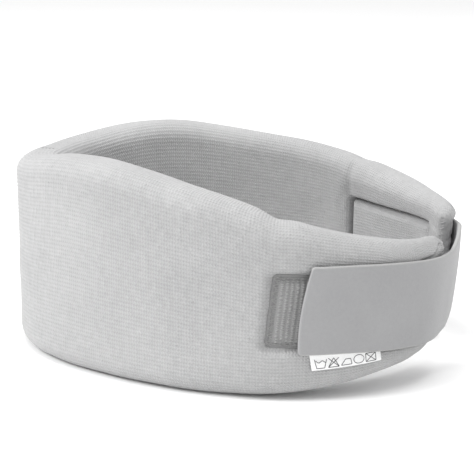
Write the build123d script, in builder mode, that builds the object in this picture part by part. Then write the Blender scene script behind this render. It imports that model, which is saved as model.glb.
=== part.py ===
"""Soft cervical collar: a foam strip in a knit cover, bent into a ring and closed by a strap.

+Z is up, -Y the chin side, +Y the nape side with the closure, and +X the wearer's left.
The origin is the bottom centre of the closed collar's box. All sizes are in millimetres.
The strip is drawn in plan along its centreline: a station is a distance along it from the
chin, and an offset is a distance outward of it. The right side mirrors the left side.
The foam bends in two places, beside the chin, so the strip is made as a front and two sides.
"""

import os
from math import cos, radians, sin

from build123d import *

# ---------------------------------------------------------------- driving dimensions
WALL = 18.0  # thickness of the padded strip
KNIT = 0.9  # thickness of the knit cover
EDGE_ROUND = 5.5  # rounding along the strip's top and bottom
TIP_INNER_ROUND = 11.0  # the ends are pulled thin towards the strap
TIP_OUTER_ROUND = 6.0
HALF_LENGTH = 199.0  # centreline from the chin to one end
CHIN_Y = -73.8  # centreline at the chin
ARCS = ((43.0, 51.0), (123.0, 38.0), (52.5, 180.0))  # radius and turn in degrees, from the chin
BEND_AT = ARCS[0][0] * radians(ARCS[0][1])  # a side bends away from the front where arcs meet

LEFT_TOP = (70.0, 75.0, 69.0, 55.0, 47.5)  # height at equal steps from the chin to the end
RIGHT_TOP = (70.0, 75.0, 69.5, 59.0, 51.5)  # the foam is cut a little higher on the right
CHIN_FRONT, NAPE_DROP = 69.0, 1.5  # where the top edge's outline runs out, SLACK beyond the strip
HEM_RISE_Y, TIP_LOW = 0.0, 13.5  # the bottom edge is flat to here, and rises on an arc to the end
SLACK = 15.0  # how far cutting outlines run past the strip

GAP = 0.3  # air between curved faces of two bodies
POCKET = 2.0  # how far its stitching pulls the loop patch into the foam
PATCH_THICK, PATCH_LOW, PATCH_TOP = 1.2, 18.5, 43.0
PATCH_START, PATCH_STOP = 127.0, 179.0
STRAP_THICK, STRAP_LOW, STRAP_TOP = 2.0, 15.8, 44.8
STRAP_LIFT = 0.6  # air under the closed strap
STRAP_START, STRAP_SLANT = 135.0, 4.5  # the free end leans back towards its top corner
SEWN_START, SEWN_STOP = 143.0, 191.0  # the strap's fixed end on the right side
HOOK_THICK, HOOK_WIDTH, HOOK_START, HOOK_STOP = 1.0, 18.5, 142.0, 172.0
LABEL_THICK, LABEL_START, LABEL_STOP = 0.25, 138.5, 160.5
LABEL_LOW, LABEL_TOP = 10.8, 15.4
LABEL_TAB = 2.6  # the label's sewn edge, hidden under the strap

STITCH, STITCH_STEP = 2.6, 3.6  # length of one stitch and distance to the next
THREAD_WIDE, THREAD_THICK = 0.5, 0.25
SEW_IN = 1.3  # stitches stand this far inside a sewn edge
SEAM_WIDE, SEAM_PROUD, SEAM_MARGIN, SEAM_OFFSET = 1.6, 0.8, 7.0, 2.5

OUTER = WALL / 2
PATCH_BASE = OUTER - POCKET
STRAP_BASE = OUTER + STRAP_LIFT
HIGH, WIDE = 100.0, 100.0  # beyond the collar in height and to one side


# ---------------------------------------------------------------- the strip's course
def course(along):
    """Plan position and heading of the left side's centreline at a station."""
    x, y, heading = 0.0, CHIN_Y, 0.0
    for radius, turn in ARCS:
        angle = min(along / radius, radians(turn))
        x += radius * (sin(heading + angle) - sin(heading))
        y -= radius * (cos(heading + angle) - cos(heading))
        heading += angle
        along -= radius * angle
    return x, y, heading


def spot(along, offset, side=1):
    """Plan point at a station and offset, on the left side or, with side -1, the right."""
    x, y, heading = course(along)
    return side * (x + offset * sin(heading)), y - offset * cos(heading)


def follow(start, stop, offset, side=1):
    """Draw the strip's arcs from one station to another, at an offset, on one side."""
    passed = 0.0
    for radius, turn in ARCS:
        length = radius * radians(turn)
        low, high = max(start, passed), min(stop, passed + length)
        if high - low > 1e-6:
            middle = (low + high) / 2
            ThreePointArc(*(spot(along, offset, side) for along in (low, middle, high)))
        passed += length


def cross_nape(along, offset):
    """Draw the arc over the closure's gap, from a station of one side to the same one of the other."""
    x, y = spot(along, offset)
    heading = course(along)[2]
    radius = x / sin(heading)
    ThreePointArc((x, y), (0, y + radius * (1 + cos(heading))), (-x, y))


def bar(start, stop, inner, outer, low, top, side=1, mode=Mode.ADD):
    """A bar along the strip between two stations, two offsets and two heights."""
    with BuildSketch(Plane.XY.offset(low)) as plan:
        with BuildLine():
            follow(start, stop, inner, side)
            follow(start, stop, outer, side)
            for along in (start, stop):
                Line(spot(along, inner, side), spot(along, outer, side))
        make_face()
    extrude(plan.sketch, amount=top - low, mode=mode)


# ---------------------------------------------------------------- the padded strip
def top_edge(side):
    """Side-view points (y, z) of the top edge, run out beyond the strip at both ends."""
    heights = LEFT_TOP if side == 1 else RIGHT_TOP
    steps = len(heights) - 1
    ys = [course(HALF_LENGTH * step / steps)[1] for step in range(steps + 1)]
    before, after = (ys[0] - SLACK, CHIN_FRONT), (ys[-1] + SLACK, heights[-1] - NAPE_DROP)
    return [before, *zip(ys, heights), after]


def trim_edges(inset, side):
    """Cut the top and bottom edges' outline, seen from the side."""
    rim = top_edge(side)
    front, tip, back = rim[0][0], rim[-2][0], rim[-1][0]
    hem_growth = ((back - HEM_RISE_Y) / (tip - HEM_RISE_Y)) ** 2
    with BuildSketch(Plane.YZ) as outline:
        with BuildLine():
            upper = Spline([(y, z - inset) for y, z in rim])
            flat = Line((front, inset), (HEM_RISE_Y, inset))
            lower = TangentArc((flat @ 1, (back, TIP_LOW * hem_growth + inset)), tangent=(1, 0))
            Line(flat @ 0, upper @ 0)
            Line(lower @ 1, upper @ 1)
        make_face()
    extrude(outline.sketch, amount=WIDE, both=True, mode=Mode.INTERSECT)


def on_cut(edge):
    """Whether an edge lies where the strip is cut through at a bend."""
    x, y, heading = course(BEND_AT)
    ends = (edge @ 0, edge @ 1)
    away = [(abs(p.X) - x) * cos(heading) + (p.Y - y) * sin(heading) for p in ends]
    return max(map(abs, away)) < 1e-3


def round_rims(radius):
    """Round the top and bottom edges, but not where the strip is cut through."""
    by_height = faces().sort_by(Axis.Z)
    rims = by_height[0].edges() + by_height[-1].edges()
    fillet([rim for rim in rims if not on_cut(rim)], radius)


def padded_front(inset):
    """The chin piece of the strip, set in from the cover's skin by an inset."""
    half = OUTER - inset
    with BuildSketch(Plane.XY.offset(-SLACK)) as plan:
        with BuildLine():
            for offset in (-half, half):
                right, left = spot(BEND_AT, offset, -1), spot(BEND_AT, offset)
                ThreePointArc(right, spot(0, offset), left)
            for side in (1, -1):
                Line(spot(BEND_AT, -half, side), spot(BEND_AT, half, side))
        make_face()
    extrude(plan.sketch, amount=HIGH + SLACK)
    trim_edges(inset, 1)
    round_rims(EDGE_ROUND - inset)


def padded_side(inset, side):
    """A side piece of the strip, from its bend to its end, set in by an inset."""
    half, stop = OUTER - inset, HALF_LENGTH - inset
    with BuildSketch(Plane.XY.offset(-SLACK)) as plan:
        with BuildLine():
            follow(BEND_AT, stop, -half, side)
            follow(BEND_AT, stop, half, side)
            for along in (BEND_AT, stop):
                Line(spot(along, -half, side), spot(along, half, side))
        make_face()
        for offset, radius in ((-half, TIP_INNER_ROUND), (half, TIP_OUTER_ROUND)):
            corner = vertices().sort_by_distance((*spot(stop, offset, side), -SLACK))[0]
            fillet(corner, radius - inset)
    extrude(plan.sketch, amount=HIGH + SLACK)
    trim_edges(inset, side)
    round_rims(EDGE_ROUND - inset)


def pocket(inset):
    """Cut the shallow pocket that the loop patch is sewn into, on the left side."""
    bar(
        PATCH_START - GAP - inset,
        PATCH_STOP + GAP + inset,
        PATCH_BASE - inset,
        OUTER + SLACK,
        PATCH_LOW - GAP - inset,
        PATCH_TOP + GAP + inset,
        mode=Mode.SUBTRACT,
    )


def stitch_box(start, stop, low, top, inner, side=1):
    """A rectangle of single stitches on a surface of the strip, the surface's offset given."""
    outer = inner + THREAD_THICK
    half = THREAD_WIDE / 2
    for height in (low, top):
        for k in range(int((stop - start) // STITCH_STEP)):
            along = start + (k + 0.5) * STITCH_STEP
            bar(along - STITCH / 2, along + STITCH / 2, inner, outer, height - half, height + half, side)
    for along in (start, stop):
        for k in range(int((top - low) // STITCH_STEP)):
            height = low + (k + 0.5) * STITCH_STEP
            bar(along - half, along + half, inner, outer, height - STITCH / 2, height + STITCH / 2, side)


# ---------------------------------------------------------------- foam, cover and end seams
pieces = {}
with BuildPart() as foam_core_front:
    padded_front(KNIT)
pieces["foam_core_front"] = foam_core_front

with BuildPart() as knit_cover_front:
    padded_front(0.0)
    add(foam_core_front.part, mode=Mode.SUBTRACT)
pieces["knit_cover_front"] = knit_cover_front

for name, side in (("left", 1), ("right", -1)):
    with BuildPart() as foam_core:
        padded_side(KNIT, side)
        if side == 1:
            pocket(KNIT)
    pieces[f"foam_core_{name}"] = foam_core

    with BuildPart() as knit_cover:
        padded_side(0.0, side)
        if side == 1:
            pocket(0.0)
        add(foam_core.part, mode=Mode.SUBTRACT)
    pieces[f"knit_cover_{name}"] = knit_cover

    with BuildPart() as end_seam:
        low, top = TIP_LOW + SEAM_MARGIN, LEFT_TOP[-1] - SEAM_MARGIN
        inner, outer = SEAM_OFFSET - SEAM_WIDE / 2, SEAM_OFFSET + SEAM_WIDE / 2
        bar(HALF_LENGTH, HALF_LENGTH + SEAM_PROUD, inner, outer, low, top, side)
    pieces[f"end_seam_{name}"] = end_seam


# ---------------------------------------------------------------- loop patch, on the left side
with BuildPart() as loop_patch:
    bar(PATCH_START, PATCH_STOP, PATCH_BASE, PATCH_BASE + PATCH_THICK, PATCH_LOW, PATCH_TOP)
pieces["loop_patch"] = loop_patch

with BuildPart() as loop_patch_stitching:
    stitch_box(
        PATCH_START + SEW_IN,
        PATCH_STOP - SEW_IN,
        PATCH_LOW + SEW_IN,
        PATCH_TOP - SEW_IN,
        PATCH_BASE + PATCH_THICK,
    )
pieces["loop_patch_stitching"] = loop_patch_stitching


# ---------------------------------------------------------------- strap
with BuildPart() as strap_sewn_end:
    bar(SEWN_START, SEWN_STOP, OUTER, OUTER + STRAP_THICK, STRAP_LOW, STRAP_TOP, -1)
pieces["strap_sewn_end"] = strap_sewn_end

with BuildPart() as strap_stitching:  # the same box shows on the strap and inside the ring
    for surface in (OUTER + STRAP_THICK, -OUTER - THREAD_THICK):
        stitch_box(
            SEWN_START + SEW_IN,
            SEWN_STOP - SEW_IN,
            STRAP_LOW + SEW_IN,
            STRAP_TOP - SEW_IN,
            surface,
            -1,
        )
pieces["strap_stitching"] = strap_stitching

with BuildPart() as strap_band:
    with BuildSketch(Plane.XY.offset(STRAP_LOW)):
        with BuildLine():
            for offset in (STRAP_BASE, STRAP_BASE + STRAP_THICK):
                follow(STRAP_START, HALF_LENGTH, offset)
                cross_nape(HALF_LENGTH, offset)
                follow(SEWN_STOP + GAP, HALF_LENGTH, offset, -1)
            for along, side in ((STRAP_START, 1), (SEWN_STOP + GAP, -1)):
                Line(spot(along, STRAP_BASE, side), spot(along, STRAP_BASE + STRAP_THICK, side))
        make_face()
    extrude(amount=STRAP_TOP - STRAP_LOW)
    start_y = spot(STRAP_START, STRAP_BASE)[1]
    with BuildSketch(Plane.YZ):
        with BuildLine():
            Polyline(
                (start_y, STRAP_LOW),
                (start_y + STRAP_SLANT, STRAP_TOP),
                (start_y - SLACK, STRAP_TOP),
                (start_y - SLACK, STRAP_LOW),
                close=True,
            )
        make_face()
    extrude(amount=WIDE, mode=Mode.SUBTRACT)
pieces["strap_band"] = strap_band

with BuildPart() as hook_tape:
    middle = (PATCH_LOW + PATCH_TOP) / 2
    low, top = middle - HOOK_WIDTH / 2, middle + HOOK_WIDTH / 2
    bar(HOOK_START, HOOK_STOP, STRAP_BASE - HOOK_THICK, STRAP_BASE, low, top)
pieces["hook_tape"] = hook_tape


# ---------------------------------------------------------------- care label
with BuildPart() as care_label_tab:
    low = LABEL_TOP + GAP
    bar(LABEL_START, LABEL_STOP, OUTER, OUTER + LABEL_THICK, low, low + LABEL_TAB)
pieces["care_label_tab"] = care_label_tab

with BuildPart() as care_label:
    face = OUTER + GAP
    bar(LABEL_START, LABEL_STOP, face, face + LABEL_THICK, LABEL_LOW, LABEL_TOP)
pieces["care_label"] = care_label


# ---------------------------------------------------------------- files
os.makedirs("parts", exist_ok=True)
for node, piece in pieces.items():
    piece.part.label = node
    export_step(piece.part, f"parts/{node}.step")
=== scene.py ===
"""Looks of the soft cervical collar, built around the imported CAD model.

The strip is described as in the CAD: a station is a distance along its centreline from the
chin, and an offset is a distance outward of that line. Side 1 is the wearer's left (+X), and
side -1 mirrors it. Sizes are in millimetres until a mesh is made, and then in metres.
"""
import math
import random

import bpy
import numpy as np
from mathutils import Matrix, Vector


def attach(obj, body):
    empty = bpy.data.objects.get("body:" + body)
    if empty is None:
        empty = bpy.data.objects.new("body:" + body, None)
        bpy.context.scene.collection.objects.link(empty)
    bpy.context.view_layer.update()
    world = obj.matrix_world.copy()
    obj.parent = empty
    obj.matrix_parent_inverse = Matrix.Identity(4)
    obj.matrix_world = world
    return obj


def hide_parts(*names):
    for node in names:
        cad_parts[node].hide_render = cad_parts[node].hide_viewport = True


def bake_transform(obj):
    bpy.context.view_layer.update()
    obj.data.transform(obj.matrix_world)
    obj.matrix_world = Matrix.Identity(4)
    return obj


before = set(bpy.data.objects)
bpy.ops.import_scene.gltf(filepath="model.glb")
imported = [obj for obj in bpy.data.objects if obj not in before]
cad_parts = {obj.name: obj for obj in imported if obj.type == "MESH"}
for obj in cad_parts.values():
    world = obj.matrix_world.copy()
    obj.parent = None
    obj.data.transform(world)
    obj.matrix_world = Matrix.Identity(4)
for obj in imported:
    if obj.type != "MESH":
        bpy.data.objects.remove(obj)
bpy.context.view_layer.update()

MM = 0.001

# ---------------------------------------------------------------- driving dimensions
WALL = 18.0
OUTER = WALL / 2
HALF_LENGTH = 199.0
CHIN_Y = -73.8
ARCS = ((43.0, 51.0), (123.0, 38.0), (52.5, 180.0))  # radius and turn in degrees
TOPS = {1: (70.0, 75.0, 69.0, 55.0, 47.5), -1: (70.0, 75.0, 69.5, 59.0, 51.5)}
TIP_LOW = 9.0  # the bottom edge rises to this at the ends
RIM_ROUND = 6.6  # rounding of the padded edges
WEDGE_FROM, WEDGE = 150.0, {1: 7.0, -1: 9.5}  # the inner face slopes out to the ends by this
TIP_THIN, DROP_OUTER = 7.0, 4.5  # length of an end's last rounding, and its drop outside
TIP_ROUND, TIP_SINK = 7.0, 4.0  # the end's corners, seen from the side
TOP_DIPS = {1: (129.0, 4.5, 1.3), -1: (140.5, 4.0, 0.7)}  # station, reach and depth, by the stitches
SEAM = OUTER - DROP_OUTER - 0.5  # offset of the end's seam
LEAN, LEAN_TOP = 0.085, 46.0  # the strap pulls the closure in, more below, by this share of height
END_SLANT = {1: 4.0, -1: 0.0}  # an end's lower corner is cut back by this
FOLD_LINE = ((174, 41.8), (178, 42.5), (186, 43.3), (191, 45.5))  # the crease at the left end

RIBS = 120  # knit columns round the tube
KNIT_PITCH = 0.95  # length of one knit stitch
RIB_HEIGHT = 0.10
RIB_FAN = {1: 30.0, -1: 4.0}  # how many columns the knit is twisted by at each end

PATCH = (125.8, 179.0, 17.9, 43.0)  # stations and heights of the loop patch
PATCH_SINK, PATCH_HEM = 1.5, 1.9  # how far the foam sinks under it, and more along its stitches
PATCH_THICK, PATCH_LEAN = 0.9, 0.10  # its ends lean, by station over height
PATCH_TILT = 0.045  # and it slopes down towards the nape
LOOP_PITCH, LOOP_START = 1.5, 1.75  # its columns of loops, and where the first stands
STRAP_WIDE, STRAP_THICK = 28.8, 1.5
STRAP_MIDDLE = {1: ((135, 31.3), (150, 31.1), (165, 30.0), (185, 28.3), (199, 27.8)),
                -1: ((140, 31.6), (165, 31.0), (187, 31.0), (199, 30.9))}  # stations and heights
SEWN_MIDDLE = ((140, 31.2), (165, 28.9), (187, 27.8), (199, 27.6))  # and of its stitches inside
STRAP_BASE = OUTER + 0.65
STRAP_START = 137.2  # station of the free end's middle
STRAP_SLANT = 2.1  # the free end's corners stand this far off its middle
STRAP_BOW = 1.1  # and its middle this far out
SEWN = (140.2, 191.0)  # stations of the strap's fixed end, on the right side
SEWN_SINK = 1.6  # how far it lies in the foam
SEWN_LINE, LINE_HALF = (140.7, 187.5), 14.7  # stations and half height of its stitches inside
GROOVE_SINK = 6.0  # how far they pull the inner face in
HOOKS = (142.0, 172.0)
HOOK_WIDE, HOOK_THICK = 18.5, 0.4
LABEL = (138.6, 160.6)
LABEL_TOP, LABEL_LOW = 17.6, 11.0
LABEL_RISE = 1.3  # its lower edge stands higher towards the nape by this
LABEL_SLANT = 0.9  # and its front end leans back by this
SEW_IN = 1.3
STITCH, STITCH_STEP = 2.4, 3.3
THREAD = 0.22  # radius of the sewing thread


# ---------------------------------------------------------------- curves and the strip's course
def smooth(x, low, high):
    """0 below low, 1 above high, and an S-shaped ramp between."""
    t = np.clip((x - low) / (high - low), 0, 1)
    return t * t * (3 - 2 * t)


def curve(x, xs, ys):
    """A smooth line through a few points."""
    xs, ys = np.array(xs, float), np.array(ys, float)
    slopes = np.gradient(ys, xs)
    k = np.clip(np.searchsorted(xs, x) - 1, 0, len(xs) - 2)
    step = xs[k + 1] - xs[k]
    t = np.clip((x - xs[k]) / step, 0, 1)
    ends = (2 * t**3 - 3 * t**2 + 1) * ys[k] + (3 * t**2 - 2 * t**3) * ys[k + 1]
    return ends + step * ((t**3 - 2 * t**2 + t) * slopes[k] + (t**3 - t**2) * slopes[k + 1])


def course(along):
    """Plan position and heading of the centreline at stations on the left side."""
    left = np.asarray(along, float)
    x, y, heading = 0 * left, 0 * left + CHIN_Y, 0 * left
    for radius, turn in ARCS:
        angle = np.minimum(left / radius, math.radians(turn))
        x = x + radius * (np.sin(heading + angle) - np.sin(heading))
        y = y - radius * (np.cos(heading + angle) - np.cos(heading))
        heading = heading + angle
        left = left - radius * angle
    return x, y, heading


def leaned(x, y, height):
    """The closure's depth position, once the strap has pulled it in."""
    return y - LEAN * (LEAN_TOP - height) * (1 - smooth(np.abs(x), 18, 42)) * (y > 0)


def points(along, offset, height, side=1):
    """Points in metres at stations, offsets and heights, as rows of x, y, z."""
    x, y, heading = course(along)
    x, y = side * (x + offset * np.sin(heading)), y - offset * np.cos(heading)
    y = leaned(x, y, height)
    return np.stack(np.broadcast_arrays(x, y, height), -1).reshape(-1, 3) * MM


# ---------------------------------------------------------------- meshes
def new_piece(name, verts, faces, materials, indices=None, smooth_shaded=True):
    """A mesh object from vertices, faces and each face's material index."""
    mesh = bpy.data.meshes.new(name)
    mesh.from_pydata(np.asarray(verts).tolist(), [], [list(face) for face in faces])
    for material in materials:
        mesh.materials.append(material)
    if indices is not None:
        mesh.polygons.foreach_set("material_index", np.asarray(indices, np.int32))
    mesh.polygons.foreach_set("use_smooth", np.full(len(mesh.polygons), smooth_shaded))
    mesh.update()
    piece = bpy.data.objects.new(name, mesh)
    bpy.context.scene.collection.objects.link(piece)
    return piece


def grid_faces(rows, columns, closed, flip):
    """Quads of a grid of rows by columns, its columns joined up if closed."""
    i, j = np.meshgrid(np.arange(rows - 1), np.arange(columns - (not closed)), indexing="ij")
    k = (j + 1) % columns
    quads = np.stack([i * columns + j, (i + 1) * columns + j, (i + 1) * columns + k, i * columns + k], -1)
    quads = quads.reshape(-1, 4)
    return quads[:, ::-1] if flip else quads


def slit_cap(first, columns, flip):
    """Quads that close a ring of columns by joining each point to the one across from it."""
    quarter, half = columns // 4, columns // 2
    k = np.arange(-quarter, quarter)
    ring = np.stack([k, k + 1, half - k - 1, half - k], -1) % columns
    quads = ring[1:-1] + first
    ends = np.array([[ring[0, 0], ring[0, 1], ring[0, 2]], [ring[-1, 0], ring[-1, 1], ring[-1, 3]]]) + first
    faces = quads.tolist() + ends.tolist()
    return [face[::-1] for face in faces] if flip else faces


def tubes(paths, radius, sides=6):
    """Vertices and faces of closed round tubes, one along each row of points, in metres."""
    verts, faces, count = [], [], 0
    around = np.arange(sides) * 2 * math.pi / sides
    for path in paths:
        path = np.asarray(path, float)
        tangent = np.gradient(path, axis=0)
        tangent /= np.linalg.norm(tangent, axis=1)[:, None]
        pick = np.argmin(np.abs(tangent).max(0))
        across = np.cross(tangent, np.eye(3)[pick])
        across /= np.linalg.norm(across, axis=1)[:, None]
        up = np.cross(tangent, across)
        ring = across[:, None] * np.cos(around)[:, None] + up[:, None] * np.sin(around)[:, None]
        swell = np.full(len(path), radius * MM)
        swell[[0, -1]] *= 0.45
        verts.append((path[:, None] + ring * swell[:, None, None]).reshape(-1, 3))
        faces += [[count + k for k in quad] for quad in grid_faces(len(path), sides, True, False).tolist()]
        faces.append([count + k for k in range(sides)])
        faces.append([count + (len(path) - 1) * sides + k for k in reversed(range(sides))])
        count += len(path) * sides
    return np.concatenate(verts), faces


def tube_piece(name, paths, radius, material, sides=6):
    """One object of many round tubes."""
    verts, faces = tubes(paths, radius, sides)
    return new_piece(name, verts, faces, [material])


def keep_values(piece, **values):
    """Store named values on a piece's vertices, for its material to read."""
    for name, value in values.items():
        attribute = piece.data.attributes.new(name, "FLOAT", "POINT")
        attribute.data.foreach_set("value", np.asarray(value, np.float32).ravel())


# ---------------------------------------------------------------- materials
def new_material(name, roughness, sheen=0.0, sheen_roughness=0.5):
    """A Principled material, with its tree and a function that adds a node with input values."""
    material = bpy.data.materials.new(name)
    material.use_nodes = True
    tree = material.node_tree
    shader = tree.nodes["Principled BSDF"]
    shader.inputs["Roughness"].default_value = roughness
    shader.inputs["Specular IOR Level"].default_value = 0.25
    shader.inputs["Sheen Weight"].default_value = sheen
    shader.inputs["Sheen Roughness"].default_value = sheen_roughness

    def add(kind, settings=None, **inputs):
        node = tree.nodes.new(kind)
        for key, value in (settings or {}).items():
            setattr(node, key, value)
        for key, value in inputs.items():
            socket = node.inputs[int(key[1:])] if key[0] == "i" and key[1:].isdigit() else node.inputs[key]
            if isinstance(value, bpy.types.NodeSocket):
                tree.links.new(value, socket)
            else:
                socket.default_value = value
        return node

    return material, tree, shader, add


def maths(add, operation, a, b=0.0):
    """The output of a Math node."""
    return add("ShaderNodeMath", {"operation": operation}, i0=a, i1=b).outputs[0]


def mixed(add, share, low, high):
    """A colour between two greys or colours, by share."""
    low, high = ((c, c, c, 1) if isinstance(c, float) else (*c, 1) for c in (low, high))
    node = add("ShaderNodeMix", {"data_type": "RGBA"}, Factor=share)
    node.inputs[6].default_value = low
    node.inputs[7].default_value = high
    return node.outputs[2]


def noise(add, scale, detail=2.0, distortion=0.0):
    """A noise value in object space, its scale in features per metre."""
    place = add("ShaderNodeTexCoord").outputs["Object"]
    return add("ShaderNodeTexNoise", None, Vector=place, Scale=scale, Detail=detail,
               Distortion=distortion).outputs["Fac"]


def bumped(tree, add, shader, height, distance):
    """Wire a height to the shader's normal."""
    bump = add("ShaderNodeBump", None, Height=height, Distance=distance, Strength=1.0)
    tree.links.new(bump.outputs["Normal"], shader.inputs["Normal"])


def value_of(add, name):
    """A value stored on the vertices."""
    return add("ShaderNodeAttribute", {"attribute_name": name}).outputs["Fac"]


def knit_material():
    """Cotton stockinette: columns of V-shaped stitches, a little fuzz, uneven dye, and painted shade in the
    valleys between the ribs.
    """
    material, tree, shader, add = new_material("knit_cotton", 0.92, 0.18, 0.6)
    along, leg = value_of(add, "along"), value_of(add, "leg")
    fuzz, slub, cloud = noise(add, 3200.0, 3.0), noise(add, 420.0, 2.0), noise(add, 38.0, 2.0)
    turned = maths(add, "MULTIPLY", along, 2 * math.pi / KNIT_PITCH)
    phase = maths(add, "ADD", turned, maths(add, "MULTIPLY", leg, math.pi))
    stitch = maths(add, "SINE", maths(add, "ADD", phase, maths(add, "MULTIPLY", slub, 5.0)))
    height = maths(add, "ADD", maths(add, "MULTIPLY", stitch, 0.28), maths(add, "MULTIPLY", fuzz, 0.55))
    height = maths(add, "ADD", height, maths(add, "MULTIPLY", slub, 0.5))
    bumped(tree, add, shader, height, 0.00022)
    # painted shade: the colour is made darker in the valleys between the knit ribs, by 0.15 of its range
    shade = maths(add, "ADD", maths(add, "MULTIPLY", stitch, 0.08), maths(add, "MULTIPLY", leg, -0.15))
    shade = maths(add, "ADD", shade, maths(add, "MULTIPLY", slub, 0.35))
    shade = maths(add, "ADD", shade, maths(add, "MULTIPLY", cloud, 0.35))
    shade = maths(add, "ADD", shade, maths(add, "MULTIPLY", fuzz, 0.3))
    colour = mixed(add, shade, (0.29, 0.29, 0.294), (0.565, 0.565, 0.565))
    tree.links.new(colour, shader.inputs["Base Color"])
    return material


def foam_material():
    """Open-cell polyurethane foam."""
    material, tree, shader, add = new_material("foam", 0.95)
    place = add("ShaderNodeTexCoord").outputs["Object"]
    cells = add("ShaderNodeTexVoronoi", None, Vector=place, Scale=1400.0).outputs["Distance"]
    bumped(tree, add, shader, cells, 0.0003)
    tree.links.new(mixed(add, cells, (0.55, 0.54, 0.5), (0.84, 0.83, 0.79)), shader.inputs["Base Color"])
    return material


def velour_material():
    """Short napped velour laminate, brushed unevenly."""
    material, tree, shader, add = new_material("velour", 0.85, 0.35, 0.45)
    nap, brushed, patch = noise(add, 5200.0, 2.0), noise(add, 900.0, 3.0, 0.6), noise(add, 60.0, 2.0)
    height = maths(add, "ADD", maths(add, "MULTIPLY", nap, 0.7), maths(add, "MULTIPLY", brushed, 0.35))
    bumped(tree, add, shader, height, 0.00010)
    shade = maths(add, "ADD", maths(add, "MULTIPLY", nap, 0.35), maths(add, "MULTIPLY", brushed, 0.3))
    shade = maths(add, "ADD", shade, maths(add, "MULTIPLY", patch, 0.35))
    tree.links.new(mixed(add, shade, (0.25, 0.25, 0.255), (0.385, 0.385, 0.39)), shader.inputs["Base Color"])
    return material


def laminate_edge_material():
    """The strap's cut edge, where its paler foam core shows."""
    material, tree, shader, add = new_material("laminate_edge", 0.9, 0.1)
    grain = noise(add, 2600.0, 2.0)
    bumped(tree, add, shader, grain, 0.00015)
    tree.links.new(mixed(add, grain, (0.29, 0.29, 0.29), (0.43, 0.43, 0.425)), shader.inputs["Base Color"])
    return material


def woven_material(name, low, high, pitch, roughness=0.85, depth=0.00012):
    """A fine plain weave in heights and stations stored on the vertices."""
    material, tree, shader, add = new_material(name, roughness, 0.1)
    warp = maths(add, "SINE", maths(add, "MULTIPLY", value_of(add, "along"), 2 * math.pi / pitch))
    weft = maths(add, "SINE", maths(add, "MULTIPLY", value_of(add, "high"), 2 * math.pi / pitch))
    weave = maths(add, "MULTIPLY", warp, weft)
    grain = noise(add, 2400.0, 2.0)
    height = maths(add, "ADD", maths(add, "MULTIPLY", weave, 0.4), maths(add, "MULTIPLY", grain, 0.6))
    bumped(tree, add, shader, height, depth)
    share = maths(add, "ADD", maths(add, "MULTIPLY", weave, 0.25), grain)
    tree.links.new(mixed(add, share, low, high), shader.inputs["Base Color"])
    return material


def yarn_material(name, low, high, roughness=0.7, sheen=0.2):
    """Spun or filament yarn with a fine twist."""
    material, tree, shader, add = new_material(name, roughness, sheen)
    twist = noise(add, 4200.0, 2.0, 1.5)
    bumped(tree, add, shader, twist, 0.00006)
    tree.links.new(mixed(add, twist, low, high), shader.inputs["Base Color"])
    return material


KNIT, FOAM, VELOUR, EDGE = knit_material(), foam_material(), velour_material(), laminate_edge_material()
# painted shade: the loop tape's ground gets a darker grey than its loops, for the shade under the pile
LOOP_GROUND_PAINTED_SHADE = woven_material("loop_ground_painted_shade", (0.22, 0.22, 0.22), (0.35, 0.35, 0.35), 0.6)
LOOP_YARN = yarn_material("loop_yarn", (0.32, 0.32, 0.32), (0.52, 0.52, 0.52))
HOOK_BASE = woven_material("hook_ground", (0.42, 0.42, 0.42), (0.6, 0.6, 0.6), 0.6)
HOOK_YARN = yarn_material("hook_filament", (0.55, 0.55, 0.55), (0.75, 0.75, 0.75), 0.35, 0.0)
COTTON_THREAD = yarn_material("cotton_thread", (0.30, 0.30, 0.30), (0.46, 0.46, 0.46), 0.6)
THREAD_YARN = yarn_material("sewing_thread", (0.40, 0.40, 0.40), (0.62, 0.62, 0.62), 0.6)
LABEL_SATIN = woven_material("label_satin", (0.84, 0.84, 0.84), (0.95, 0.95, 0.95), 0.25, 0.5, 0.00003)
INK = yarn_material("label_ink", (0.05, 0.05, 0.055), (0.12, 0.12, 0.125), 0.6, 0.0)


# ---------------------------------------------------------------- camera, light and floor
def camera():
    """The viewpoint: from the wearer's left and a little behind, slightly above."""
    azimuth, elevation, roll = math.radians(102.74), math.radians(12.76), math.radians(0.13)
    distance, aim = 561.6, np.array((0.0, 8.0, 37.1))
    shift_right, shift_up = -8.13, 2.54
    back = np.array((math.sin(azimuth) * math.cos(elevation), -math.cos(azimuth) * math.cos(elevation),
                     math.sin(elevation)))
    right = np.array((math.cos(azimuth), math.sin(azimuth), 0.0))
    up = np.cross(back, right)
    eye = (aim + right * shift_right + up * shift_up + back * distance) * MM
    turned = right * math.cos(roll) + up * math.sin(roll), up * math.cos(roll) - right * math.sin(roll)
    data = bpy.data.cameras.new("camera")
    data.sensor_width, data.lens = 36.0, 114.6
    data.clip_start, data.clip_end = 0.01, 50.0
    view = bpy.data.objects.new("camera", data)
    bpy.context.scene.collection.objects.link(view)
    view.matrix_world = Matrix(((turned[0][0], turned[1][0], back[0], eye[0]),
                                (turned[0][1], turned[1][1], back[1], eye[1]),
                                (turned[0][2], turned[1][2], back[2], eye[2]), (0, 0, 0, 1)))
    bpy.context.scene.camera = view


def area_light(name, position, aim, size, watts):
    """A square soft light, pointed from position at aim."""
    data = bpy.data.lights.new(name, "AREA")
    data.size, data.energy = size, watts
    light = bpy.data.objects.new(name, data)
    bpy.context.scene.collection.objects.link(light)
    way = np.array(position) - np.array(aim)
    light.location = position
    light.rotation_mode = "QUATERNION"
    light.rotation_quaternion = Vector(way).to_track_quat("Z", "Y")


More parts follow.
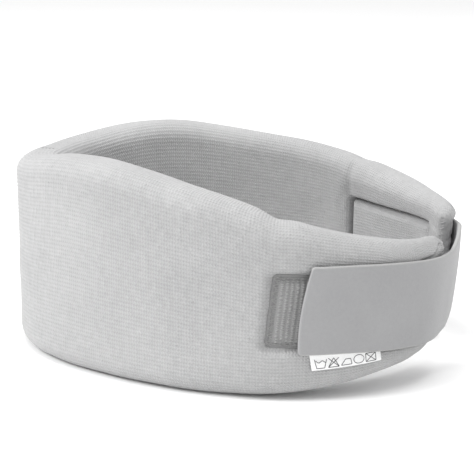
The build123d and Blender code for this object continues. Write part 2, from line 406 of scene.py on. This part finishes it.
def studio():
    """A pale floor, a white surround, and soft light from high on the chin side."""
    scene = bpy.context.scene
    scene.view_settings.view_transform = "Standard"
    world = bpy.data.worlds.new("surround")
    world.use_nodes = True
    world.node_tree.nodes["Background"].inputs["Color"].default_value = (1, 1, 1, 1)
    world.node_tree.nodes["Background"].inputs["Strength"].default_value = 0.84
    scene.world = world
    area_light("key", (0.75, -1.3, 1.25), (0, 0, 0.04), 0.8, 22.5)
    area_light("top", (0.1, 0.1, 1.6), (0, 0, 0.03), 1.0, 13.0)
    reach = 6.0
    material, tree, shader, add = new_material("floor", 0.9)
    speck = noise(add, 3.0)
    tree.links.new(mixed(add, speck, (0.93, 0.93, 0.93), (0.96, 0.96, 0.96)), shader.inputs["Base Color"])
    corners = [(-reach, -reach, 0), (reach, -reach, 0), (reach, reach, 0), (-reach, reach, 0)]
    floor = new_piece("floor", corners, [(0, 1, 2, 3)], [material], smooth_shaded=False)
    floor.location.z = -0.0002


camera()
studio()


# ---------------------------------------------------------------- the padded strip's shape
def outline(along, side, inset):
    """Inner and outer offset, low and top height of the strip at stations."""
    quarters = np.linspace(0, HALF_LENGTH, 5)
    y = course(along)[1]
    top = curve(y, course(quarters)[1], TOPS[side])
    low = TIP_LOW * np.clip(y / course(HALF_LENGTH)[1], 0, None) ** 2
    left = HALF_LENGTH - along

    def rounding(length):
        return 1 - np.sqrt(np.clip(1 - (np.clip(1 - left / length, 0, 1)) ** 2, 0, 1))

    wedge = WEDGE[side]
    inner = -OUTER + wedge * smooth(along, WEDGE_FROM, HALF_LENGTH - 2)
    inner = inner + (OUTER - wedge + SEAM - 0.5) * rounding(TIP_THIN)
    outer = OUTER - DROP_OUTER * rounding(TIP_THIN)
    sink = TIP_SINK * rounding(TIP_ROUND)
    place, reach, depth = TOP_DIPS[side]
    top = top - depth * np.exp(-((along - place) / reach) ** 2)
    return inner + inset, outer - inset, low + sink + inset, top - sink - inset


def to_box(along, height, box, corner=0.0):
    """Distance from a box of stations and heights with rounded corners: negative inside it."""
    start, stop, low, top = box
    dx = np.maximum(start - along, along - stop) + corner
    dz = np.maximum(low - height, height - top) + corner
    outside = np.hypot(np.maximum(dx, 0), np.maximum(dz, 0))
    return outside + np.minimum(np.maximum(dx, dz), 0) - corner


def strap_middle(along, side):
    """Height of the strap's middle at stations of one side."""
    return curve(along, *zip(*STRAP_MIDDLE[side]))


def sewn_middle(along):
    """Height of the middle of the strap's stitches on the inner face."""
    return curve(along, *zip(*SEWN_MIDDLE))


def askew(along, height):
    """Where a point of the loop patch's plain rectangle lies, as the patch is sewn on askew."""
    return along + PATCH_LEAN * (height - PATCH[2]), height - PATCH_TILT * (along - PATCH[0])


def to_patch(along, height):
    """Distance from the loop patch's edge, negative on the patch."""
    straight = along - PATCH_LEAN * (height - PATCH[2])
    return to_box(straight, height + PATCH_TILT * (straight - PATCH[0]), PATCH, 2.0)


def to_strap(along, height, start, stop, half):
    """Distance from a box whose height is measured from a bent middle line, on the right side."""
    return to_box(along, height, (start, stop, -half, half), 1.0)


def sink_outer(along, height, side):
    """How far the outer face is pulled in."""
    if side == 1:
        away = to_patch(along, height)
        hem = PATCH_HEM * np.exp(-((away + 1.0) / 1.7) ** 2)
        return hem + PATCH_SINK * (1 - smooth(away, -0.5, 2.4)) + 0.4 * np.exp(-np.clip(away, 0, None) / 3.0)
    up = height - strap_middle(along, -1)
    away = to_strap(along, up, SEWN[0] - 0.4, HALF_LENGTH + 40, STRAP_WIDE / 2 + 0.4)
    return (SEWN_SINK + 0.15) * (1 - smooth(away, -0.3, 1.4)) + 0.4 * np.exp(-np.clip(away, 0, None) / 3.0)


def sink_inner(along, height, side):
    """How far the inner face is pulled in: a groove along the stitches, with a pillow inside it."""
    if side == -1:
        away = to_strap(along, height - sewn_middle(along), *SEWN_LINE, LINE_HALF)
        corner = SEWN_LINE[0]
        share = 1 - 0.3 * smooth(along, 155, SEWN_LINE[1])
        top = sewn_middle(along) + LINE_HALF
    else:
        away = to_patch(along, height) + SEW_IN
        share, corner, top = 0.6, PATCH[0], PATCH[3]
    groove = GROOVE_SINK * np.exp(-np.abs(away) / np.where(away > 0, 0.7, 1.1))
    pillow = 0.5 * smooth(-away, 0, 2.0)
    shoulder = 0.5 * np.exp(-np.clip(away, 0, None) / 3.0) * (away > 0)
    bulge = -0.5 * np.exp(-((away - 7.5) / 3.5) ** 2)
    crease = 1.0 * np.exp(-((along - corner + 0.3) / 1.7) ** 2) * smooth(height, top - 1, top + 3)
    return share * (np.maximum(groove, pillow) + shoulder + bulge) + crease


def fold_sink(along, height, side):
    """The crease where the cover is folded over at the left end's upper corner, and its low flap."""
    past = height - curve(along, *zip(*FOLD_LINE))
    near = (side == 1) * smooth(along, FOLD_LINE[0][0] - 3, FOLD_LINE[0][0] + 3)
    crease = 1.3 * np.exp(-((past / 0.55) ** 2)) * (1 - smooth(along, 191, 193))
    flap = 0.5 * (1 - smooth(past, -0.8, 0.0)) * smooth(past, -9, -4)
    return near * (crease + flap)


def uneven(along, turn, side):
    """Gentle unevenness of hand-covered foam, from -1 to 1."""
    a, b = 2 * math.pi * turn, side * 1.7
    waves = np.sin(along / 9.1 + 2 * a + b) * np.sin(3 * a + along / 31 + 0.4)
    waves = waves + 0.6 * np.sin(along / 5.3 - 4 * a + 2 * b) * np.sin(5 * a + 1.1 + along / 17)
    return waves / 1.6


def puckers(along, turn, side):
    """Small pleats that run in to the end's seam."""
    left = HALF_LENGTH - along
    fan = np.sin(2 * math.pi * turn * 17 + side) + 0.6 * np.sin(2 * math.pi * turn * 29 + 2 * side)
    return fan * np.exp(-((left - 3.0) / 4.5) ** 2)


def rounded(turn, width, height, radius):
    """A rounded rectangle at shares of a turn from the middle of its outer face, going up.

    Gives offset and height from its middle, and the outward direction there."""
    quarter = math.pi * radius / 2
    runs = (height / 2 - radius, quarter, width - 2 * radius, quarter, height - 2 * radius,
            quarter, width - 2 * radius, quarter, height / 2 - radius)
    left = turn * sum(runs)
    x, z, heading = width / 2 + 0 * left, 0 * left, np.full(np.shape(left), math.pi / 2)
    for k, run in enumerate(runs):
        part = np.clip(left, 0, run)
        if k % 2:
            angle = part / radius
            x = x + radius * (np.sin(heading + angle) - np.sin(heading))
            z = z - radius * (np.cos(heading + angle) - np.cos(heading))
            heading = heading + angle
        else:
            x, z = x + part * np.cos(heading), z + part * np.sin(heading)
        left = left - run
    return x, z, np.sin(heading), -np.cos(heading)


def cut_back(along, height, side):
    """Stations once the end's lower corner is cut back."""
    return along - END_SLANT[side] * smooth(along, 168, HALF_LENGTH) * (1 - smooth(height, 11, 40))


def stations(side, step, fine):
    """Stations from the chin to the end, closer together where the surface turns sharply."""
    sharp = [PATCH[0] + 1, PATCH[1]] if side == 1 else SEWN_LINE
    line = np.arange(0, HALF_LENGTH + 0.01, 0.1)
    gap = np.full(len(line), step)
    for place in sharp:
        gap = np.minimum(gap, fine + (step - fine) * smooth(np.abs(line - place), 2, 5))
    gap = np.minimum(gap, fine + (step - fine) * smooth(HALF_LENGTH - line, 2, 10))
    count = np.concatenate([[0], np.cumsum(0.1 / gap[1:])])
    return np.interp(np.linspace(0, count[-1], int(count[-1]) + 1), count, line)


def strip(name, side, inset, columns, step, fine, materials, ribbed):
    """One side of the padded strip, from the chin to its end, as a closed mesh."""
    rows = stations(side, step, fine)
    if inset:
        rows = rows[rows < HALF_LENGTH - 3 * inset]
    inner, outer, low, top = (v[:, None] for v in outline(rows, side, inset))
    turn = np.arange(columns)[None, :] / columns
    width, tall = outer - inner, top - low
    radius = np.minimum(RIM_ROUND - inset, 0.495 * width)
    x, z, out, up = rounded(turn, width, tall, radius)
    along = rows[:, None] + 0 * turn
    offset, height = x + (inner + outer) / 2, z + (low + top) / 2
    ease = smooth(HALF_LENGTH - along, 1.0, 9.0)
    offset = offset - smooth(out, 0.2, 0.95) * sink_outer(along, height, side) * ease
    offset = offset + smooth(-out, 0.2, 0.95) * sink_inner(along, height, side) * ease
    offset = offset - smooth(out, 0.2, 0.8) * fold_sink(along, height, side)
    calm = 1 - 0.75 * smooth(out, 0.3, 0.9) * smooth(along, 112, 124)
    swell = 0.32 * uneven(along, turn, side) * calm * smooth(along, 0, 12)
    swell = swell + 0.14 * puckers(along, turn, side) * smooth(HALF_LENGTH - along, 0, 1.5)
    ribs = RIBS * turn + RIB_FAN[side] * np.clip((along - 158) / (HALF_LENGTH - 158), 0, 1) ** 2
    if ribbed:
        swell = swell + RIB_HEIGHT * np.cos(2 * math.pi * ribs) * smooth(HALF_LENGTH - along, 0, 2)
    offset, height = offset + out * swell, height + up * swell
    height = np.maximum(height, inset + 0.05)
    verts = points(cut_back(along, height, side), offset, height, side)
    flip = side == 1
    last = (len(rows) - 1) * columns
    faces = grid_faces(len(rows), columns, True, flip).tolist()
    faces += slit_cap(0, columns, not flip) + slit_cap(last, columns, flip)
    piece = new_piece(name, verts, faces, materials)
    if ribbed:
        # the second value is 1 in the valleys between the ribs, where the knit colour is painted darker as
        # shade
        keep_values(piece, along=along, leg=0.5 - 0.5 * np.cos(2 * math.pi * ribs))
        sharpen_ring(piece, columns)
    return piece


def sharpen_ring(piece, columns):
    """Shade the faces beside the first and last ring apart from the caps that close them."""
    mesh = piece.data
    ends = np.zeros(len(mesh.edges) * 2, np.int32)
    mesh.edges.foreach_get("vertices", ends)
    ends = ends.reshape(-1, 2)
    on_ring = (ends < columns).all(1) | (ends >= len(mesh.vertices) - columns).all(1)
    sharp = mesh.attributes.new("sharp_edge", "BOOLEAN", "EDGE")
    sharp.data.foreach_set("value", on_ring)


for side, word in ((1, "left"), (-1, "right")):
    cover = strip(f"cover_{word}", side, 0.0, 4 * RIBS, 1.12, 0.5, [KNIT], True)
    core = strip(f"core_{word}", side, 1.1, 120, 2.0, 0.8, [FOAM], False)
    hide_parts(f"knit_cover_{word}", "knit_cover_front")
    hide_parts(f"foam_core_{word}", "foam_core_front")
    for piece in (cover, core):
        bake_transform(piece)


# ---------------------------------------------------------------- stitches
def on_inner(along, height, side):
    """Offset of the inner face."""
    flat = outline(along, side, 0.0)[0]
    return flat + sink_inner(along, height, side) * smooth(HALF_LENGTH - along, 1.0, 9.0)


def on_patch(along, height):
    """Offset of the loop patch's woven ground."""
    return OUTER - sink_outer(along, height, 1) - 0.25 + PATCH_THICK


def box_stitches(box, surface, outward, side, middle=None):
    """Paths of single stitches round a box, on a surface whose offset a function gives."""
    start, stop, low, top = box
    t = np.linspace(-1, 1, 7)
    lines = [(start + (k + 0.5) * STITCH_STEP + t * STITCH / 2, height + 0 * t)
             for height in (low, top) for k in range(int((stop - start) // STITCH_STEP))]
    lines += [(along + 0 * t, low + (k + 0.5) * STITCH_STEP + t * STITCH / 2)
              for along in (start, stop) for k in range(int((top - low) // STITCH_STEP))]
    paths = []
    for along, height in lines:
        if middle is None:
            along, height = askew(along, height)
        else:
            height = height + middle(along)
        rise = outward * (0.22 - 0.45 * t**4)
        paths.append(points(along, surface(along, height) + rise, height, side))
    return paths


def shrunk(box, by):
    """A box of stations and heights, smaller all round."""
    return box[0] + by, box[1] - by, box[2] + by, box[3] - by


def zigzag(box, wide, pitch):
    """The paths of a zigzag stitch down the loop patch's two ends."""
    start, stop, low, top = box
    count = int((top - low) / pitch)
    height = np.linspace(low, top, count * 4 + 1)
    wave = np.abs(((height - low) / pitch) % 2 - 1)
    paths = []
    for edge, turned in ((start, 1), (stop, -1)):
        along, high = askew(edge + turned * wide * wave, height)
        paths.append(points(along, on_patch(along, high) + 0.05 + 0.15 * np.sin(math.pi * wave), high))
    return paths


# ---------------------------------------------------------------- loop patch
def rounded_corners(along, height, box, radius):
    """A box's grid of points, drawn in at its corners to round them."""
    middle = (box[0] + box[1]) / 2, (box[2] + box[3]) / 2
    core = (box[1] - box[0]) / 2 - radius, (box[3] - box[2]) / 2 - radius
    across, up = along - middle[0], height - middle[1]
    u = np.clip((np.abs(across) - core[0]) / radius, 0, 1)
    v = np.clip((np.abs(up) - core[1]) / radius, 0, 1)
    across = np.sign(across) * (np.minimum(np.abs(across), core[0]) + radius * u * np.sqrt(1 - v**2 / 2))
    up = np.sign(up) * (np.minimum(np.abs(up), core[1]) + radius * v * np.sqrt(1 - u**2 / 2))
    return middle[0] + across, middle[1] + up


def slab(name, box, base, thick, step, side, materials, place=None):
    """A closed sheet with rounded edges on the strip, its base's offset given by a function."""
    start, stop, low, top = box
    rows = np.linspace(start, stop, int((stop - start) / step) + 1)
    columns = np.linspace(low, top, int((top - low) / step) + 1)
    along, height = np.meshgrid(rows, columns, indexing="ij")
    away = -to_box(along, height, box)
    edge = thick * 0.5 * (1 - np.sqrt(np.clip(1 - (1 - np.clip(away / (thick * 0.6), 0, 1)) ** 2, 0, 1)))
    along, height = rounded_corners(along, height, box, 2.0)
    if place:
        along, height = place(along, height)
    level = base(along, height)
    front = points(along, level + thick - edge, height, side)
    back = points(along, level + edge, height, side)
    r, c = len(rows), len(columns)
    quads = [grid_faces(r, c, False, side == -1), grid_faces(r, c, False, side == 1) + r * c]
    ring = np.concatenate([np.arange(c), np.arange(1, r) * c + c - 1, (r - 1) * c + np.arange(c - 2, -1, -1),
                           np.arange(r - 2, 0, -1) * c])
    following = np.roll(ring, -1)
    wall = np.stack([ring, following, following + r * c, ring + r * c], -1)
    quads.append(wall if side == -1 else wall[:, ::-1])
    piece = new_piece(name, np.concatenate([front, back]), np.concatenate(quads), materials)
    keep_values(piece, along=np.concatenate([along.ravel()] * 2), high=np.concatenate([height.ravel()] * 2))
    return piece


def loop_rows(box, pitch, row, seed):
    """Small standing loops in columns, each an arch of yarn leaning its own way."""
    draw = random.Random(seed)
    start, stop, low, top = box
    paths = []
    t = np.linspace(0, math.pi, 6)
    for i in range(int((stop - start) / pitch)):
        for j in range(int((top - low) / row)):
            along = start + (i + 0.5) * pitch + draw.uniform(-0.12, 0.12)
            height = low + (j + 0.5) * row + draw.uniform(-0.1, 0.1)
            along, height = askew(along, height)
            lean, tall, half = draw.uniform(-0.3, 0.3), draw.uniform(0.40, 0.62), draw.uniform(0.36, 0.50)
            base = on_patch(np.array(along), np.array(height)) - 0.08
            skew = draw.uniform(-0.2, 0.2)
            paths.append(points(along + half * np.cos(t), base + tall * np.sin(t),
                                height + lean * np.sin(t) + skew * np.cos(t)))
    return paths


def patch_base(along, height):
    """The patch's underside, with the woven columns of its ground."""
    inside = smooth(-to_patch(along, height), 2.0, 3.0)
    past = along - PATCH_LEAN * (height - PATCH[2]) - PATCH[0] - LOOP_START
    columns = np.cos(2 * math.pi * past / LOOP_PITCH)
    return on_patch(along, height) - PATCH_THICK + 0.12 * inside * columns


patch = slab("loop_patch_ground", PATCH, patch_base, PATCH_THICK, 0.36, 1, [LOOP_GROUND_PAINTED_SHADE], askew)
loop_paths = loop_rows(shrunk(PATCH, 1.0), LOOP_PITCH, 0.72, 11)
loops = tube_piece("loop_patch_pile", loop_paths, 0.13, LOOP_YARN, 5)
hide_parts("loop_patch")
for piece in (patch, loops):
    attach(piece, "left_side")

patch_line = shrunk(PATCH, SEW_IN)
patch_paths = box_stitches(patch_line, on_patch, 1, 1)
patch_paths += box_stitches(patch_line, lambda along, height: on_inner(along, height, 1), -1, 1)
patch_paths += zigzag(shrunk(PATCH, 0.5), 1.7, 1.2)
patch_sewing = tube_piece("patch_sewing", patch_paths, 0.14, COTTON_THREAD)
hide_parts("loop_patch_stitching")
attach(patch_sewing, "left_side")


# ---------------------------------------------------------------- strap
def strap_line(step):
    """Plan points, outward directions, distances and middle heights along the strap's inner face."""
    close = np.array((0, 0.12, 0.3, 0.55, 0.9, 1.4, 2.0))  # rows stand closer at the two cut ends
    left = np.concatenate([STRAP_START + close, np.arange(STRAP_START + 2.8, HALF_LENGTH, step)])
    x, y, heading = course(left)
    free_part = (np.stack([x + STRAP_BASE * np.sin(heading), y - STRAP_BASE * np.cos(heading)], -1),
                 np.stack([np.sin(heading), -np.cos(heading)], -1))
    x, y, heading = (float(v) for v in course(HALF_LENGTH))
    x, y = x + STRAP_BASE * math.sin(heading), y - STRAP_BASE * math.cos(heading)
    radius = x / math.sin(heading)
    half = math.pi - heading
    turn = np.linspace(half, -half, max(3, int(2 * half * radius / step) + 1))
    normal = np.stack([np.sin(turn), np.cos(turn)], -1)
    nape_part = np.array((0, y + radius * math.cos(heading))) + radius * normal, normal
    right = np.concatenate([np.arange(HALF_LENGTH - step, SEWN[0] + 2.4, -step), SEWN[0] + close[::-1]])
    x, y, heading = course(right)
    sewn = STRAP_BASE - (SEWN_SINK + 0.5) * smooth(-right, -HALF_LENGTH, -SEWN[1] + 4)
    fixed_part = (np.stack([-(x + sewn * np.sin(heading)), y - sewn * np.cos(heading)], -1),
                  np.stack([-np.sin(heading), -np.cos(heading)], -1))
    place, normal = (np.concatenate(parts) for parts in zip(free_part, nape_part, fixed_part))
    length = np.concatenate([[0], np.cumsum(np.linalg.norm(np.diff(place, axis=0), axis=1))])
    nape = np.linspace(STRAP_MIDDLE[1][-1][1], STRAP_MIDDLE[-1][-1][1], len(turn))
    middle = np.concatenate([strap_middle(left, 1), nape, strap_middle(right, -1)])
    return place, normal, length, middle


def strap_piece():
    """The whole strap: free end, band and sewn end, with rounded edges and a slanted free end."""
    place, normal, length, middle = strap_line(0.9)
    total = length[-1]
    half = STRAP_WIDE / 2 - 0.5 * smooth(length, 30, 70) * (1 - smooth(length, total - 60, total - 30))
    rim = 10
    across = np.linspace(-1, 1, 41)
    edge = np.linspace(0, math.pi, rim + 1)[1:-1]
    u = np.concatenate([across, np.ones(rim - 1), across[::-1], -np.ones(rim - 1)])
    depth = np.concatenate([np.ones(41), 0.5 + 0.5 * np.cos(edge), np.zeros(41), 0.5 - 0.5 * np.cos(edge)])
    proud = np.concatenate([np.zeros(41), np.sin(edge), np.zeros(41), -np.sin(edge)]) * STRAP_THICK * 0.35
    ring = len(u)
    corner = 1.3
    rows = len(length)
    end_gap = np.minimum(length, total - length)
    taper = corner * (1 - np.sqrt(np.clip(1 - (1 - np.clip(end_gap / corner, 0, 1)) ** 2, 0, 1)))
    reach = (half - taper)[:, None]
    high = middle[:, None] + u * reach + proud
    lean = (STRAP_BOW * (1 - u**2) - STRAP_SLANT * u)[None, :] * np.clip(1 - length / 40, 0, 1)[:, None]
    wave = 0.25 * np.sin(length / 11 + 0.5)[:, None] * np.sin(u * 2.2 + 0.6)[None, :]
    free = smooth(length, 40, 60) * (1 - smooth(length, total - 50, total - 40))
    crown = 0.35 * (1 - u[None, :] ** 2) * free[:, None]
    thin = np.clip(end_gap / 0.8, 0, 1)[:, None]
    thin = np.sqrt(1 - (1 - thin) ** 2) * 0.92 + 0.08
    level = STRAP_THICK * (0.5 + (depth - 0.5) * thin) + wave * 0.6 + crown
    xy = place[:, None] + normal[:, None] * level[..., None]
    tangent = np.gradient(place, axis=0)
    tangent /= np.linalg.norm(tangent, axis=1)[:, None]
    xy = xy - tangent[:, None] * lean[..., None]
    verts = np.stack([xy[..., 0], leaned(xy[..., 0], xy[..., 1], high), high], -1).reshape(-1, 3) * MM
    faces = grid_faces(rows, ring, True, False)
    on_edge = np.zeros(ring, int)
    on_edge[40:40 + rim] = 1
    on_edge[41 + rim - 1 + 40:] = 1
    indices = np.tile(on_edge, rows - 1)
    caps = [list(range(ring)), [(rows - 1) * ring + k for k in reversed(range(ring))]]
    indices = np.concatenate([indices, [1, 1]])
    return new_piece("strap", verts, faces.tolist() + caps, (VELOUR, EDGE), indices)


strap = strap_piece()
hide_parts("strap_band", "strap_sewn_end")
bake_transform(strap)


def on_strap(along, height):
    """Offset of the sewn end's outer face."""
    return OUTER - SEWN_SINK + 0.15 + STRAP_THICK + 0.05 + 0 * along


sewn_line = *SEWN_LINE, -LINE_HALF, LINE_HALF
sewn_face = SEWN[0] + SEW_IN, SEWN_LINE[1], -STRAP_WIDE / 2 + SEW_IN, STRAP_WIDE / 2 - SEW_IN
strap_paths = box_stitches(sewn_face, on_strap, 1, -1, lambda along: strap_middle(along, -1))
strap_paths += box_stitches(sewn_line, lambda along, height: on_inner(along, height, -1), -1, -1,
                            sewn_middle)
strap_sewing = tube_piece("strap_sewing", strap_paths, THREAD, THREAD_YARN)
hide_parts("strap_stitching")
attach(strap_sewing, "right_side")


# ---------------------------------------------------------------- hook tape
def hook_paths(box, base, pitch):
    """Small filament hooks in rows on the strap's inner face, their heads bent over."""
    start, stop, low, top = box
    paths = []
    t = np.array((0, 0.35, 0.65, 0.85, 1.0))
    rise, bend = np.array((0, 0.42, 0.62, 0.6, 0.46)), np.array((0, 0.0, 0.1, 0.28, 0.36))
    for i in range(int((stop - start) / pitch)):
        for j in range(int((top - low) / pitch)):
            along, height = start + (i + 0.5) * pitch, low + (j + 0.5) * pitch
            turned = 1 if (i + j) % 2 else -1
            paths.append(points(along + turned * bend, base - rise + 0 * t, height + 0 * t))
    return paths


middle = (PATCH[2] + PATCH[3]) / 2
hook_box = HOOKS[0], HOOKS[1], middle - HOOK_WIDE / 2, middle + HOOK_WIDE / 2
hook_ground = slab("hook_tape_ground", hook_box,
                   lambda along, height: STRAP_BASE - HOOK_THICK + 0 * along,
                   HOOK_THICK, 0.8, 1, [HOOK_BASE])
hook_lines = hook_paths(shrunk(hook_box, 0.8), STRAP_BASE - HOOK_THICK + 0.02, 1.3)
hook_pile = tube_piece("hook_tape_hooks", hook_lines, 0.1, HOOK_YARN, 5)
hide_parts("hook_tape")
for piece in (hook_ground, hook_pile):
    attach(piece, "strap")


# ---------------------------------------------------------------- care label
def label_height(along, height):
    """Height of a point on the label, which hangs a little askew."""
    share = (along - LABEL[0]) / (LABEL[1] - LABEL[0])
    return height + LABEL_RISE * share * (LABEL_TOP - height) / (LABEL_TOP - LABEL_LOW)


def label_face(height):
    """Offset of the label's front layer: its lower edge stands off the cover."""
    return OUTER + 0.42 + 0.55 * (1 - smooth(height, LABEL_LOW, 15.5))


def label_piece():
    """A ribbon folded once at its lower edge, with both ends sewn in under the strap."""
    rows = np.linspace(LABEL[0], LABEL[1], 45)
    down = np.linspace(LABEL_TOP, LABEL_LOW, 24)
    fold = np.linspace(0, math.pi, 9)[1:-1]
    gap, thick = 0.26, 0.09
    front = label_face(down)
    centre_height = np.concatenate([down, LABEL_LOW - gap / 2 * np.sin(fold), down[::-1]])
    centre = np.concatenate([front, front[-1] - gap / 2 * (1 - np.cos(fold)), (front - gap)[::-1]])
    centre = np.maximum(centre, OUTER + 0.16)
    step = np.gradient(np.stack([centre, centre_height], -1), axis=0)
    step /= np.linalg.norm(step, axis=1)[:, None]
    normal = np.stack([-step[:, 1], step[:, 0]], -1)
    both = [np.stack([centre, centre_height], -1) + normal * thick / 2 * k for k in (1, -1)]
    ring = np.concatenate([both[0], both[1][::-1]])
    slant = 1 - (rows - LABEL[0]) / (LABEL[1] - LABEL[0])
    share = (LABEL_TOP - ring[:, 1]) / (LABEL_TOP - LABEL_LOW)
    along = rows[:, None] + LABEL_SLANT * slant[:, None] * share[None, :]
    height = label_height(along, ring[None, :, 1])
    ripple = 0.08 * np.sin(along / 3.1) * (1 - smooth(height, LABEL_LOW, 15.0))
    verts = points(along, ring[None, :, 0] + ripple, height)
    columns = len(ring)
    faces = grid_faces(len(rows), columns, True, False).tolist()
    half = columns // 2
    strips = [[k, k + 1, columns - 2 - k, columns - 1 - k] for k in range(half - 1)]
    last = (len(rows) - 1) * columns
    faces += strips + [[last + k for k in reversed(quad)] for quad in strips]
    piece = new_piece("care_label_ribbon", verts, faces, [LABEL_SATIN])
    keep_values(piece, along=along, high=height)
    return piece


def mark_strokes():
    """Five small plain marks, as lines in a square from -1 to 1."""
    circle = [(math.cos(a), math.sin(a)) for a in np.linspace(0, 2 * math.pi, 25)]
    square = [(-1, -1), (1, -1), (1, 1), (-1, 1), (-1, -1)]
    triangle = [(-1, -1), (1, -1), (0, 1), (-1, -1)]
    tray = [(-1.1, 0.9), (-0.7, -1), (0.7, -1), (1.1, 0.9)]
    wave = [(x, 0.35 + 0.22 * math.sin(5 * x)) for x in np.linspace(-0.95, 0.95, 13)]
    house = [(-1, -0.9), (1, -0.9), (0.8, 0.4), (-0.2, 0.4), (-1, -0.9)]
    bars = [(-1, -1), (1, 1)], [(-1, 1), (1, -1)]
    return [[tray, wave], [triangle, *bars], [house], [circle], [square, *bars]]


def mark_paths():
    """The marks' strokes on the label's front layer."""
    size, pitch, high = 1.6, 3.8, 13.1
    paths = []
    for k, strokes in enumerate(mark_strokes()):
        centre = (LABEL[0] + LABEL[1]) / 2 + (k - 2) * pitch
        for stroke in strokes:
            line = np.array(stroke, float)
            steps = np.concatenate([[0], np.cumsum(np.hypot(*np.diff(line, axis=0).T))])
            t = np.linspace(0, steps[-1], max(9, int(steps[-1] * 8)))
            along = centre + size * np.interp(t, steps, line[:, 0])
            raw = high + size * np.interp(t, steps, line[:, 1])
            height = label_height(along, raw)
            ripple = 0.08 * np.sin(along / 3.1) * (1 - smooth(height, LABEL_LOW, 15.0))
            paths.append(points(along, label_face(raw) + 0.055 + ripple, height))
    return paths


label = label_piece()
marks = tube_piece("care_label_marks", mark_paths(), 0.12, INK, 6)
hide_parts("care_label", "care_label_tab")
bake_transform(label)
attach(marks, "care_label")


# ---------------------------------------------------------------- end seams
def seam_paths(side):
    """Overcast stitches down an end's seam: one thread wound round the folded edge."""
    low, top = (float(v) for v in outline(np.array(HALF_LENGTH - 0.5), side, 0.0)[2:])
    low, top = low + 1.0, top - 1.0
    turns = int((top - low) / 2.1)
    t = np.linspace(0, turns, turns * 12 + 1)
    angle = 2 * math.pi * t
    along = HALF_LENGTH - 0.75 + 0.95 * np.cos(angle)
    offset = SEAM + 1.1 * np.sin(angle)
    height = low + (top - low) * t / turns
    return [points(cut_back(along, height, side), offset, height, side)]


for side, word in ((1, "left"), (-1, "right")):
    seam = tube_piece(f"end_sewing_{word}", seam_paths(side), 0.14, COTTON_THREAD)
    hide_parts(f"end_seam_{word}")
    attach(seam, f"{word}_side")
